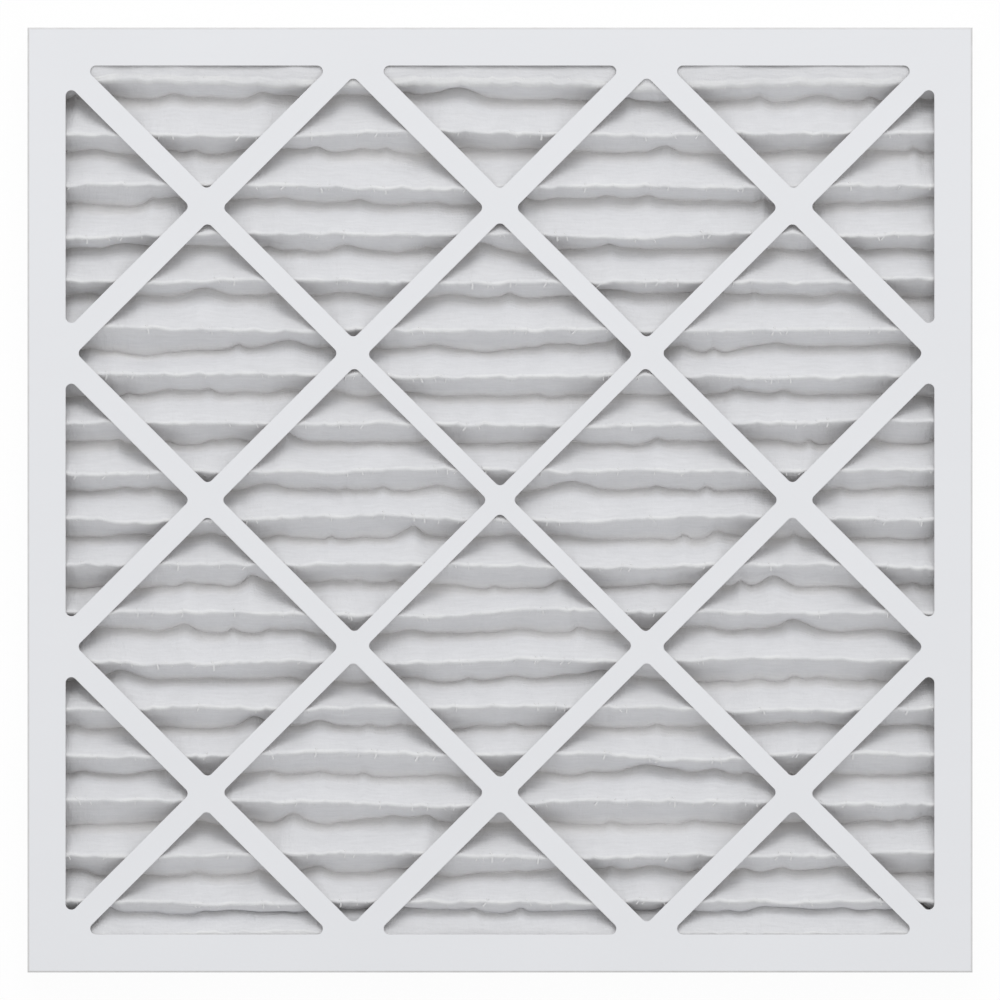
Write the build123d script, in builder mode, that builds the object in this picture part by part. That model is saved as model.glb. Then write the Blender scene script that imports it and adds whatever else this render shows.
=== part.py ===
"""Pleated panel air filter, lying on its back face with the front lattice up.

A folded, pleated sheet of filter media on a steel support grid is held between two nested halves of
folded paperboard. The origin is the middle of the back face. +X runs along the pleats, +Y across
them towards the first pleat, and +Z out of the front face. Sizes are in millimetres.
"""

import os
from math import asin, atan2, copysign, cos, degrees, hypot, sin

from build123d import *

# Panel
panel_width = 495.3  # X, along the pleats
panel_length = 495.3  # Y, across the pleats
panel_depth = 19.05  # Z, from the back face to the front face

# Folded paperboard of the two frame halves
board = 0.7  # thickness
bend_radius = 0.9  # outside radius where a wall folds back from the face
border = 20.0  # solid rim of the face, from the panel's edge to the openings
lap_gap = 0.1  # glue line between two lapped layers of board
nest_gap = 0.15  # clearance between the two nested halves
tab_length = 22.0  # glued corner tabs

# Diagonal lattice of the face
lattice_rings = 3  # crossings from the middle of the face to the rim
lattice_overrun = 3.05  # how far under the rim the outermost crossings lie
strip_widths = (9.2, 10.8, 12.3)  # in each ring, from the middle outwards
opening_radius = 3.0  # rounded corners of the openings

# Pleated media
media_thickness = 1.4  # and the outer radius of a fold, which turns about its inner crease
pleat_count = 18  # crests that show in the front openings
valley_share = 0.4  # of a pitch, from a crest down to the valley below it
end_pitch = 27.4  # the outermost pleats are drawn apart
end_pitches = 2  # at each end
first_crest_inset = 9.75  # from the edge of the openings to the first crest
last_crest_inset = 13.85  # from the last crest to the edge of the openings
last_fall = 8.0  # run of the sheet from the last crest to the last valley
last_rise = 12.0  # run from the last valley up to the tail behind the front rim
bond_gap = 0.1  # adhesive film between the folds and the faces of the frame

# Support grid bonded to the back of the media
grid_thickness = 0.4
grid_bond = 0.05  # adhesive film between the grid and the media
grid_margin = 2.0  # the grid stops short of the sealed edges of the media
grid_gap_count = 3  # diamond gaps along each flank of a pleat
grid_strand = 3.0  # steel left between the points of two gaps
grid_edge = 1.2  # steel left between a gap and a fold

# Adhesive seals
side_bead = 0.6  # between the media's side edges and the walls
end_gap = 0.3  # between the media's tails and the corner tabs
bead_crown = 1.0  # rise of an end bead above the tail that it holds

# The nested fit: each value is half a width or half a length, from the middle of the panel
window_x = panel_width / 2 - border
window_y = panel_length / 2 - border
back_half_x = panel_width / 2 - board - nest_gap
back_half_y = panel_length / 2 - board - lap_gap - board - nest_gap
inside_x = back_half_x - board
inside_y = back_half_y - board
media_x = inside_x - side_bead
media_y = inside_y - lap_gap - board - end_gap
tab_free_x = back_half_x - tab_length - nest_gap
grid_x = media_x - grid_margin

# Heights above the back face
front_inner = panel_depth - board
crest_crease_z = front_inner - bond_gap - media_thickness
valley_crease_z = board + bond_gap + grid_thickness + grid_bond + media_thickness

# Layers of the folded stack, by their distance behind the front surface of the sheet
media_back = media_thickness
grid_front = media_back + grid_bond
grid_back = grid_front + grid_thickness

crest_side, valley_side = 1, -1


def lattice_openings():
    """The openings of the face, drawn in the current sketch: the window less its diagonal strips."""
    step_x = (window_x + lattice_overrun) / lattice_rings
    step_y = (window_y + lattice_overrun) / lattice_rings
    slope = degrees(atan2(step_y, step_x))
    reach = range(-lattice_rings, lattice_rings)
    Rectangle(2 * window_x, 2 * window_y)
    for column in reach:
        for row in reach:
            ring = max(abs(column + 0.5), abs(row + 0.5)) - 0.5
            turn = slope if (column + row) % 2 == 0 else -slope
            with Locations(((column + 0.5) * step_x, (row + 0.5) * step_y)):
                Rectangle(hypot(step_x, step_y), strip_widths[int(ring)], turn, mode=Mode.SUBTRACT)


def folded_half(seat, half_x, half_y, wall_height):
    """One die-cut and folded blank. seat is the outer plane of its face, and its walls rise from it."""
    up = Axis(seat.origin, seat.z_dir)
    lap = board + lap_gap
    with BuildPart() as half:
        with BuildSketch(seat):
            Rectangle(2 * half_x, 2 * half_y)
        extrude(amount=wall_height)
        fillet(half.edges().group_by(up)[0], bend_radius)
        with BuildSketch(seat.offset(board)):
            Rectangle(2 * (half_x - board), 2 * (half_y - board))
        extrude(amount=wall_height, mode=Mode.SUBTRACT)
        # the side walls end just short of the end walls, at a slit in each corner
        with BuildSketch(seat.offset(board)):
            with GridLocations(2 * half_x - board, 2 * half_y - board - lap, 2, 2):
                Rectangle(board, lap_gap)
        extrude(amount=wall_height, mode=Mode.SUBTRACT)
        # and turn the corner as tabs glued behind the end walls
        with BuildSketch(seat.offset(lap)):
            with GridLocations(2 * half_x - tab_length, 2 * (half_y - lap) - board, 2, 2):
                Rectangle(tab_length, board)
        extrude(amount=wall_height - lap)
        with BuildSketch(seat):
            add(lattice.sketch)
        extrude(amount=board, mode=Mode.SUBTRACT)
    return half


def crest_places():
    """The Y of each front crest, from the first pleat to the last."""
    first = window_y - first_crest_inset
    last = last_crest_inset - window_y
    middle_pitches = pleat_count - 1 - 2 * end_pitches
    pitch = (first - last - 2 * end_pitches * end_pitch) / middle_pitches
    places = [first]
    for gap in range(pleat_count - 1):
        at_an_end = gap < end_pitches or gap >= pleat_count - 1 - end_pitches
        places.append(places[-1] - (end_pitch if at_an_end else pitch))
    return places


def creases():
    """The (Y, Z) and the side of the sharp inner crease of each fold. Both tails lie flat beyond them."""
    crests = crest_places()
    found = [(crests[0] + (1 - valley_share) * end_pitch, valley_crease_z, valley_side)]
    for crest, following in zip(crests, crests[1:]):
        found.append((crest, crest_crease_z, crest_side))
        found.append((crest - valley_share * (crest - following), valley_crease_z, valley_side))
    found.append((crests[-1], crest_crease_z, crest_side))
    found.append((crests[-1] - last_fall, valley_crease_z, valley_side))
    found.append((crests[-1] - last_fall - last_rise, crest_crease_z, crest_side))
    return found


def folds():
    """Each fold: its crease, and the angle at which the sheet climbs before it and after it."""
    found = creases()
    climbs = [0.0]
    for (y, z, _), (next_y, next_z, next_side) in zip(found, found[1:]):
        swing = asin(media_thickness / hypot(next_y - y, next_z - z))
        climbs.append(atan2(next_z - z, y - next_y) + next_side * swing)
    climbs.append(0.0)
    return list(zip(found, climbs, climbs[1:]))


def fold_radius(side, behind):
    """How far from a crease a line passes that runs behind the front surface, below 0 if beyond it."""
    return media_thickness - behind if side == crest_side else behind


def fold_corner(crease, radius, climb, next_climb):
    """Where two lines meet that pass a crease at a radius, one with each climb."""
    y, z, side = crease
    mitre = side * radius / cos((next_climb - climb) / 2)
    middle = (climb + next_climb) / 2
    return (y + mitre * sin(middle), z + mitre * cos(middle))


def tail_ends(behind):
    """The two ends of a line that runs behind the front surface of the sheet."""
    first, last = creases()[0], creases()[-1]
    return (
        (media_y, first[1] - fold_radius(valley_side, behind)),
        (-media_y, last[1] + fold_radius(crest_side, behind)),
    )


def flat_folds(behind):
    """The corners of such a line at each fold, when its outer bends are pressed flat."""
    corners = []
    for crease, climb, next_climb in folds():
        radius = fold_radius(crease[2], behind)
        if radius > 0:
            corners.append(
                [fold_corner(crease, radius, climb, 0.0), fold_corner(crease, radius, 0.0, next_climb)]
            )
        else:
            corners.append([fold_corner(crease, radius, climb, next_climb)])
    return corners


def round_line(behind):
    """The edges of such a line when its outer bends are round."""
    corners, radii = [], []
    for crease, climb, next_climb in folds():
        radius = fold_radius(crease[2], behind)
        corners.append(fold_corner(crease, radius, climb, next_climb))
        radii.append(radius)
    start, end = tail_ends(behind)
    with BuildLine() as line:
        FilletPolyline(start, *corners, end, radius=radii)
    return line.edges()


def flat_line(behind):
    """The edges of such a line when its outer bends are pressed flat."""
    start, end = tail_ends(behind)
    points = [point for corners in flat_folds(behind) for point in corners]
    with BuildLine() as line:
        Polyline(start, *points, end)
    return line.edges()


def layer_face(line, front, back):
    """Draws the section of a layer of the stack, in the current sketch."""
    with BuildLine() as ends:
        for start, end in zip(tail_ends(front), tail_ends(back)):
            Line(start, end)
    make_face([*line(front), *line(back), *ends.edges()])


def flank_gaps():
    """A plane on each flank of the grid, with the size of its gaps and how far along X they start."""
    corners = flat_folds((grid_front + grid_back) / 2)
    pitch = 2 * grid_x / (grid_gap_count + 0.5)
    for number, (fold, next_fold) in enumerate(zip(corners, corners[1:])):
        start, end = Vector(0, *fold[-1]), Vector(0, *next_fold[0])
        plane = Plane(origin=(start + end) / 2, x_dir=(1, 0, 0), z_dir=Vector(1, 0, 0).cross(end - start))
        shift = -pitch / 4 if number % 2 == 0 else pitch / 4
        yield plane, pitch, shift, (end - start).length - 2 * grid_edge


def end_bead(side, seat_z, tail_z):
    """Draws an adhesive bead in the corner beyond a tail, which it holds from seat_z to past tail_z."""
    rise = copysign(bead_crown, tail_z - seat_z)
    tail, wall = side * media_y, side * inside_y
    with BuildLine() as outline:
        Polyline((tail, tail_z), (tail, seat_z), (wall, seat_z), (wall, tail_z + rise))
        Line((wall, tail_z + rise), (tail, tail_z))
    make_face(outline.edges())


with BuildSketch() as lattice:
    lattice_openings()
    fillet(lattice.vertices(), opening_radius)
front_seat = Plane(origin=(0, 0, panel_depth), x_dir=(1, 0, 0), z_dir=(0, 0, -1))
front_frame = folded_half(front_seat, panel_width / 2, panel_length / 2, panel_depth)
back_frame = folded_half(Plane.XY, back_half_x, back_half_y, front_inner - nest_gap)

# The sheet of media, folded across the panel
with BuildPart() as pleated_media:
    with BuildSketch(Plane.YZ.offset(-media_x)):
        layer_face(round_line, 0.0, media_back)
    extrude(amount=2 * media_x)

# The expanded steel grid behind it, with staggered diamonds along every flank
with BuildPart() as support_grid:
    with BuildSketch(Plane.YZ.offset(-grid_x)):
        layer_face(flat_line, grid_front, grid_back)
    extrude(amount=2 * grid_x)
    for flank, pitch, shift, gap_width in flank_gaps():
        half_gap = (pitch - grid_strand) / 2
        with BuildSketch(flank):
            with Locations((shift, 0)):
                with GridLocations(pitch, 0, grid_gap_count, 1):
                    Polygon((-half_gap, 0), (0, -gap_width / 2), (half_gap, 0), (0, gap_width / 2))
    extrude(amount=grid_thickness, both=True, mode=Mode.SUBTRACT)

# The adhesive that closes the pleats against each side wall
with BuildPart() as side_seal_left:
    with BuildSketch(Plane.YZ.offset(-inside_x)):
        layer_face(flat_line, 0.0, media_back)
    extrude(amount=side_bead)
with BuildPart() as side_seal_right:
    with BuildSketch(Plane.YZ.offset(media_x)):
        layer_face(flat_line, 0.0, media_back)
    extrude(amount=side_bead)

# The beads that hold the sheet's tails: the first on the back half, the last under the front rim
with BuildPart() as end_seal_first:
    with BuildSketch(Plane.YZ.offset(-tab_free_x)):
        end_bead(1, board, valley_crease_z)
    extrude(amount=2 * tab_free_x)
with BuildPart() as end_seal_last:
    with BuildSketch(Plane.YZ.offset(-tab_free_x)):
        end_bead(-1, front_inner, crest_crease_z)
    extrude(amount=2 * tab_free_x)

nodes = {
    "front_frame": front_frame,
    "back_frame": back_frame,
    "pleated_media": pleated_media,
    "support_grid": support_grid,
    "side_seal_left": side_seal_left,
    "side_seal_right": side_seal_right,
    "end_seal_first": end_seal_first,
    "end_seal_last": end_seal_last,
}
os.makedirs("parts", exist_ok=True)
for name, node in nodes.items():
    node.part.label = name
    export_step(node.part, f"parts/{name}.step")
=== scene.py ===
"""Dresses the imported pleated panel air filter: lined board, a folded sheet of fibre, a steel grid, glue.

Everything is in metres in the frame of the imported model. +X runs along the pleats, +Y across them
towards the first pleat, and +Z out of the front face.
"""

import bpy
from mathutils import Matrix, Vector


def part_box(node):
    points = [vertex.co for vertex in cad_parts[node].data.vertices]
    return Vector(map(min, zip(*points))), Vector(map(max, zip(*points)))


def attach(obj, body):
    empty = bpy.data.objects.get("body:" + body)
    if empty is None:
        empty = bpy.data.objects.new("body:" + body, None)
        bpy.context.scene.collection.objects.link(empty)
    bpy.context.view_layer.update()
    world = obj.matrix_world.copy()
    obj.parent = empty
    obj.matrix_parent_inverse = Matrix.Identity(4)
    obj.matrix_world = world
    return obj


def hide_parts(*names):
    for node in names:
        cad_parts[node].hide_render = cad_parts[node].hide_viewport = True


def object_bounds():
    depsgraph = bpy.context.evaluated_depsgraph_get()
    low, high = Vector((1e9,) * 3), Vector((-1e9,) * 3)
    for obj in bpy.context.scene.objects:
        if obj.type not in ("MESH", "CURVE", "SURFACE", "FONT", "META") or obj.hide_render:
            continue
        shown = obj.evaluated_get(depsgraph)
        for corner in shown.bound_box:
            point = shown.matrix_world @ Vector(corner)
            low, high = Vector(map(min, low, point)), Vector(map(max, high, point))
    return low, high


bl_info = {
    "name": "Pleated Panel Air Filter",
    "version": (1, 0, 0),
    "blender": (4, 5, 0),
    "location": "View3D > Sidebar > Filter",
    "description": "Dresses a pleated panel air filter in board, folded media, steel grid and glue",
    "category": "Object",
}

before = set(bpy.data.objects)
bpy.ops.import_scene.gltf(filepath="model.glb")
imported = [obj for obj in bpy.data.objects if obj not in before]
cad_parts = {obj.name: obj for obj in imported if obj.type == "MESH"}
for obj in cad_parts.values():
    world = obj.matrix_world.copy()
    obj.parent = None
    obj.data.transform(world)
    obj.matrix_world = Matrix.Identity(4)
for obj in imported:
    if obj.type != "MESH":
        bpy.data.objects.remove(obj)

import math

import bpy
import numpy as np
from bpy.props import FloatProperty, FloatVectorProperty, IntProperty, PointerProperty

MM = 0.001
CREST, VALLEY = 1, -1
cad_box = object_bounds()
panel_top = cad_box[1][2]
half_width = (cad_box[1][0] - cad_box[0][0]) / 2
half_length = (cad_box[1][1] - cad_box[0][1]) / 2


# ---------------- settings


def maker(kind, **fixed):
    """Makes properties of one kind, each from its name, its description and its default."""

    def make(name, description, default):
        return kind(name=name, description=description, default=default, **fixed)

    return make


length = maker(FloatProperty, precision=5, subtype="DISTANCE", unit="LENGTH")
angle = maker(FloatProperty, subtype="ANGLE", unit="ROTATION")
power = maker(FloatProperty, min=0.0, subtype="POWER", unit="POWER")
strength = maker(FloatProperty, min=0.0)
share = maker(FloatProperty, min=0.0, max=1.0, subtype="FACTOR")
colour = maker(FloatVectorProperty, size=3, min=0.0, max=1.0, subtype="COLOR")
count = maker(IntProperty, min=0)


class FilterBoardSettings(bpy.types.PropertyGroup):
    lining: colour("Lining", "White lining on the outer side of the board", (0.772, 0.782, 0.808))
    kraft: colour("Kraft", "Brown inner side of the board", (0.24, 0.185, 0.145))
    pulp: colour("Pulp", "Grey pulp at a cut or worn edge", (0.50, 0.485, 0.465))
    # grey along the folded outer edges: partly wear of the lining, partly painted shade of the rounded edge
    worn: share("Worn edges", "How much of the lining is worn off the folded edges", 0.75)
    border: length("Border", "Width of the solid rim around the openings", 20 * MM)
    pressed: length("Pressed edge", "Radius that the die presses on a cut edge", 0.45 * MM)


class FilterMediaSettings(bpy.types.PropertyGroup):
    fibre: colour("Fibre", "Colour of the fibre on the flanks of the pleats", (0.695, 0.70, 0.722))
    # painted highlight: the lighter colour along a crest stands in for the light that the crest top catches
    bloom: colour("Bloom", "Colour of the raised fibre along a crest", (0.745, 0.75, 0.76))
    # painted shade: the darker colour in a valley stands in for the shade that falls in the fold
    crease: colour("Crease", "Colour of the fibre pinched in a valley", (0.67, 0.665, 0.66))
    # painted fill light: the lighter colour deep in a valley stands in for light that the shade of the fold
    # takes away
    clean: colour("Clean fibre", "Colour of the fibre deep in a valley", (0.815, 0.81, 0.815))
    crests: count("Crests", "Crests that show in the front openings", 18)
    end_pitch: length("End pitch", "Pitch of the two pleats drawn apart at each end", 27.4 * MM)
    last_pitch: length("Last pitch", "Pitch of the very last pleat", 24.6 * MM)
    first_inset: length("First crest", "From the edge of the openings to the first crest", 8.4 * MM)
    last_inset: length("Last crest", "From the last crest to the edge of the openings", 17.0 * MM)
    last_fall: length("Last fall", "Run from the last crest down to the last valley", 4.8 * MM)
    last_rise: length("Last rise", "Run from the last valley up to the tail", 12 * MM)
    end_lift: length("End lift", "How far the first and the last valley stay above the others", 6 * MM)
    lean: share("Lean", "Share of a pitch from a crest down to its valley", 0.42)
    steep_lean: share("Steep lean", "The same share in the first pleats, which stand steeper", 0.32)
    steep_pleats: count("Steep pleats", "Number of the steeper pleats", 5)
    thickness: length("Thickness", "Thickness of the sheet", 1.0 * MM)
    bend: length("Fold radius", "Radius of a fold on the middle of the sheet", 0.65 * MM)
    roll: length("First fold radius", "Radius of the first crest, which is rolled and not pressed", 2.4 * MM)
    wander: length("Wander", "Slow sideways drift of a fold", 0.9 * MM)
    scallop: length("Scallop", "Depth of the hanging arcs along a crest", 1.0 * MM)
    first_roll: length("First roll out", "How far the first flank swells outwards", 3.6 * MM)
    buckle: length("Buckle", "Most that a valley is pushed up the flank above it", 5 * MM)
    puff: length("Puff", "How far the flanks swell outwards", 0.55 * MM)
    seed: count("Seed", "Seed of the unevenness of the folds", 7)


class FilterTuftSettings(bpy.types.PropertyGroup):
    spacing: length("Spacing", "Distance between two tufts of loose fibre along a crest", 5 * MM)
    size: length("Size", "Length of a tuft", 4.0 * MM)
    width: length("Width", "Width of a tuft at its root", 1.2 * MM)
    seed: count("Seed", "Seed of the tufts", 3)


class FilterGridSettings(bpy.types.PropertyGroup):
    steel: colour("Zinc", "Colour of the galvanised steel", (0.52, 0.53, 0.54))
    diamond_width: length("Diamond width", "Long way of a diamond, along the pleats", 32 * MM)
    diamond_height: length("Diamond height", "Short way of a diamond, over the folds", 16 * MM)
    strand: length("Strand", "Width of a strand", 1.1 * MM)
    gauge: length("Gauge", "Thickness of a strand", 0.4 * MM)
    margin: length("Margin", "How far the grid stops short of the sheet's edges", 3 * MM)


class FilterGlueSettings(bpy.types.PropertyGroup):
    glue: colour("Glue", "Colour of the set glue", (0.74, 0.72, 0.68))


class FilterStageSettings(bpy.types.PropertyGroup):
    floor: colour("Floor", "Colour of the floor", (0.93, 0.93, 0.93))
    camera_height: length("Camera height", "From the front face up to the camera", 5.0)
    view_width: length("View width", "Width of the picture at the front face", 524.1 * MM)
    fill: strength("Fill", "Strength of the even light from all round", 0.76)
    key: power("Key", "Power of the key light", 57.0)
    key_distance: length("Key distance", "From the middle of the panel to the key light", 4.0)
    key_elevation: angle("Key elevation", "Height of the key light", math.radians(42))


# ---------------- node helpers


def wire(tree, target, values):
    """Links or sets the inputs of a node."""
    for key, value in values.items():
        socket = target.inputs[key]
        if isinstance(value, bpy.types.NodeSocket):
            tree.links.new(value, socket)
        else:
            socket.default_value = value
    return target


def node(tree, kind, inputs=None, **settings):
    made = tree.nodes.new(kind)
    for key, value in settings.items():
        setattr(made, key, value)
    return wire(tree, made, inputs or {})


def output_of(tree, kind, inputs=None, **settings):
    """The first output of a new node."""
    return node(tree, kind, inputs, **settings).outputs[0]


def maths(tree, operation, *values, clamp=False):
    sockets = dict(enumerate(values))
    return output_of(tree, "ShaderNodeMath", sockets, operation=operation, use_clamp=clamp)


def times(tree, first, second, clamp=False):
    return maths(tree, "MULTIPLY", first, second, clamp=clamp)


def mixed(tree, amount, first, second):
    """The first colour with the second mixed in. The node takes colours at 6 and 7, and gives one at 2."""
    sockets = {0: amount, 6: opaque(first), 7: opaque(second)}
    return node(tree, "ShaderNodeMix", sockets, data_type="RGBA").outputs[2]


def opaque(value):
    """A colour setting with its alpha; a socket stays as it is."""
    return value if isinstance(value, bpy.types.NodeSocket) else (*value, 1.0)


def scaled(tree, vector, amount):
    return output_of(tree, "ShaderNodeVectorMath", {0: vector, 3: amount}, operation="SCALE")


def combined(tree, x=0.0, y=0.0, z=0.0):
    return output_of(tree, "ShaderNodeCombineXYZ", {0: x, 1: y, 2: z})


def axes_of(tree, vector):
    return node(tree, "ShaderNodeSeparateXYZ", {0: vector}).outputs


def smooth_step(tree, value, low, high):
    """Runs smoothly from 0 at low to 1 at high."""
    sockets = {"Value": value, "From Min": low, "From Max": high}
    return output_of(tree, "ShaderNodeMapRange", sockets, interpolation_type="SMOOTHSTEP")


def around(tree, value, swing):
    """Turns a noise value near 0.5 into a factor that swings about 1."""
    return maths(tree, "MULTIPLY_ADD", value, swing, 1 - swing / 2)


def new_group(name, kind, inputs, outputs):
    """A node group with its input and output nodes. An input is given by its default or its kind."""
    group = bpy.data.node_groups.new(name, kind)
    for label, given in inputs.items():
        numbers = "Int" if isinstance(given, int) else "Float"
        socket_kind = given if isinstance(given, str) else numbers
        socket = group.interface.new_socket(label, in_out="INPUT", socket_type="NodeSocket" + socket_kind)
        if socket_kind != given:
            socket.default_value = given
    for label, socket_kind in outputs.items():
        group.interface.new_socket(label, in_out="OUTPUT", socket_type="NodeSocket" + socket_kind)
    return group, group.nodes.new("NodeGroupInput").outputs, group.nodes.new("NodeGroupOutput")


def shared_group(build):
    """The shader group that build makes, which is made once."""
    return bpy.data.node_groups.get(build.__name__) or build()


def place_group(tree, group, inputs):
    made = node(tree, "ShaderNodeGroup", node_tree=group)
    return wire(tree, made, inputs).outputs


def new_material(name, **constants):
    material = bpy.data.materials.new(name)
    material.use_nodes = True
    shader = material.node_tree.nodes["Principled BSDF"]
    for key, value in constants.items():
        shader.inputs[key.replace("_", " ")].default_value = value
    return material, material.node_tree, shader


def object_place(tree):
    return node(tree, "ShaderNodeTexCoord").outputs["Object"]


# ---------------- shared effects


def fibre_grain():
    """Fibre drawn out along X: long streaks, soft clouds and fine fuzz, each a value about 0.5."""
    group, entry, leave = new_group(
        "fibre_grain",
        "ShaderNodeTree",
        {
            "Place": "Vector",
            "Streak length": 20 * MM,
            "Streak width": 2 * MM,
            "Cloud size": 30 * MM,
            "Fuzz size": 0.6 * MM,
        },
        {"Streaks": "Float", "Clouds": "Float", "Fuzz": "Float"},
    )
    along, across, cloud, fuzz = (
        maths(group, "DIVIDE", 1.0, entry[label])
        for label in ("Streak length", "Streak width", "Cloud size", "Fuzz size")
    )
    stretch = combined(group, along, across, across)
    drawn = output_of(group, "ShaderNodeVectorMath", {0: entry["Place"], 1: stretch}, operation="MULTIPLY")
    noises = {
        "Streaks": {"Vector": drawn, "Scale": 1.0, "Detail": 4.0, "Roughness": 0.6},
        "Clouds": {"Vector": entry["Place"], "Scale": cloud, "Detail": 3.0},
        "Fuzz": {"Vector": entry["Place"], "Scale": fuzz, "Detail": 2.0},
    }
    for label, sockets in noises.items():
        wire(group, leave, {label: output_of(group, "ShaderNodeTexNoise", sockets)})
    return group


def grain_over(tree, place, length, width, cloud, fuzz):
    """Fibre over a place, with the length and the width of a streak and the sizes of clouds and fuzz."""
    sizes = {"Streak length": length, "Streak width": width, "Cloud size": cloud, "Fuzz size": fuzz}
    return place_group(tree, shared_group(fibre_grain), {"Place": place, **sizes})


def mottled(tree, grain, **swings):
    """A factor about 1 that swings with the named parts of the grain."""
    factors = [around(tree, grain[part.title()], swing) for part, swing in swings.items()]
    return factors[0] if len(factors) == 1 else times(tree, *factors)


def worn_and_shaded_arris():
    """Where board is bent or rubbed, with painted shade where its rounded edge turns away from the light: a
    soft mask along the outer edges of the panel.
    """
    group, entry, leave = new_group(
        "worn_and_shaded_arris",
        "ShaderNodeTree",
        {
            "Place": "Vector",
            "Half width": half_width,
            "Half length": half_length,
            "Height": panel_top,
            "Reach": 2 * MM,
        },
        {"Mask": "Float"},
    )
    x, y, z = axes_of(group, entry["Place"])
    to_side = maths(group, "SUBTRACT", entry["Half width"], maths(group, "ABSOLUTE", x))
    to_end = maths(group, "SUBTRACT", entry["Half length"], maths(group, "ABSOLUTE", y))
    inwards = maths(group, "MINIMUM", to_side, to_end)
    below = maths(group, "SUBTRACT", z, entry["Height"])
    squares = maths(group, "MULTIPLY_ADD", inwards, inwards, times(group, below, below))
    to_corner = maths(group, "MAXIMUM", to_side, to_end)
    nearest = maths(group, "MINIMUM", maths(group, "SQRT", squares), to_corner)
    noise = output_of(group, "ShaderNodeTexNoise", {"Vector": entry["Place"], "Scale": 140.0, "Detail": 3.0})
    ragged = maths(group, "MULTIPLY_ADD", noise, 0.8, 0.5)
    edge = smooth_step(group, nearest, entry["Reach"], 0.0)
    wire(group, leave, {"Mask": times(group, edge, ragged, clamp=True)})
    return group


# ---------------- materials

FACES_AWAY = 0.5  # least part of a normal along an axis for a face that looks along it
WALL_TURNED_IN = -0.1  # metres: normal times place, below this on a wall that looks to the middle


def board_material(name, settings, outward):
    """Lined board: bluish white outside, brown kraft inside, grey pulp at a cut edge, and grey along the
    outer folded edges that is part wear and part painted shade.

    outward is the Z that its face looks to.
    """
    material, tree, shader = new_material(name, Roughness=0.6)
    place = object_place(tree)
    x, y, _ = axes_of(tree, place)
    facing = axes_of(tree, node(tree, "ShaderNodeNewGeometry").outputs["True Normal"])
    grain = grain_over(tree, place, length=60 * MM, width=15 * MM, cloud=120 * MM, fuzz=0.8 * MM)
    lining = scaled(tree, tuple(settings.lining), mottled(tree, grain, clouds=0.03, streaks=0.015))
    # grey along the outer folded edges: part wear of the lining, part painted shade where the rounded edge
    # turns from the light
    worn = place_group(tree, shared_group(worn_and_shaded_arris), {
        "Place": place, "Height": panel_top if outward > 0 else 0.0, "Reach": 1.5 * MM,
    })
    lining = mixed(tree, times(tree, worn["Mask"], settings.worn), lining, settings.pulp)
    kraft = scaled(tree, tuple(settings.kraft), mottled(tree, grain, streaks=0.2, fuzz=0.3))
    # inside: the face that looks back, and a wall that looks towards the middle
    looks_back = maths(tree, "GREATER_THAN", times(tree, facing[2], -outward), FACES_AWAY)
    outwards = maths(tree, "MULTIPLY_ADD", facing[0], x, times(tree, facing[1], y))
    inner = maths(tree, "MAXIMUM", looks_back, maths(tree, "LESS_THAN", outwards, WALL_TURNED_IN))
    # cut: an upright face within the openings
    off_middle = maths(tree, "MAXIMUM", maths(tree, "ABSOLUTE", x), maths(tree, "ABSOLUTE", y))
    in_window = maths(tree, "LESS_THAN", off_middle, half_width - settings.border + 0.5 * MM)
    upright = maths(tree, "LESS_THAN", maths(tree, "ABSOLUTE", facing[2]), FACES_AWAY)
    tone = mixed(tree, inner, lining, kraft)
    tone = mixed(tree, times(tree, in_window, upright), tone, settings.pulp)
    pressed = output_of(tree, "ShaderNodeBevel", {"Radius": settings.pressed}, samples=4)
    bump = output_of(tree, "ShaderNodeBump", {
        "Height": grain["Fuzz"], "Strength": 0.2, "Distance": 0.02 * MM, "Normal": pressed,
    })
    wire(tree, shader, {"Base Color": tone, "Normal": bump})
    return material


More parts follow.
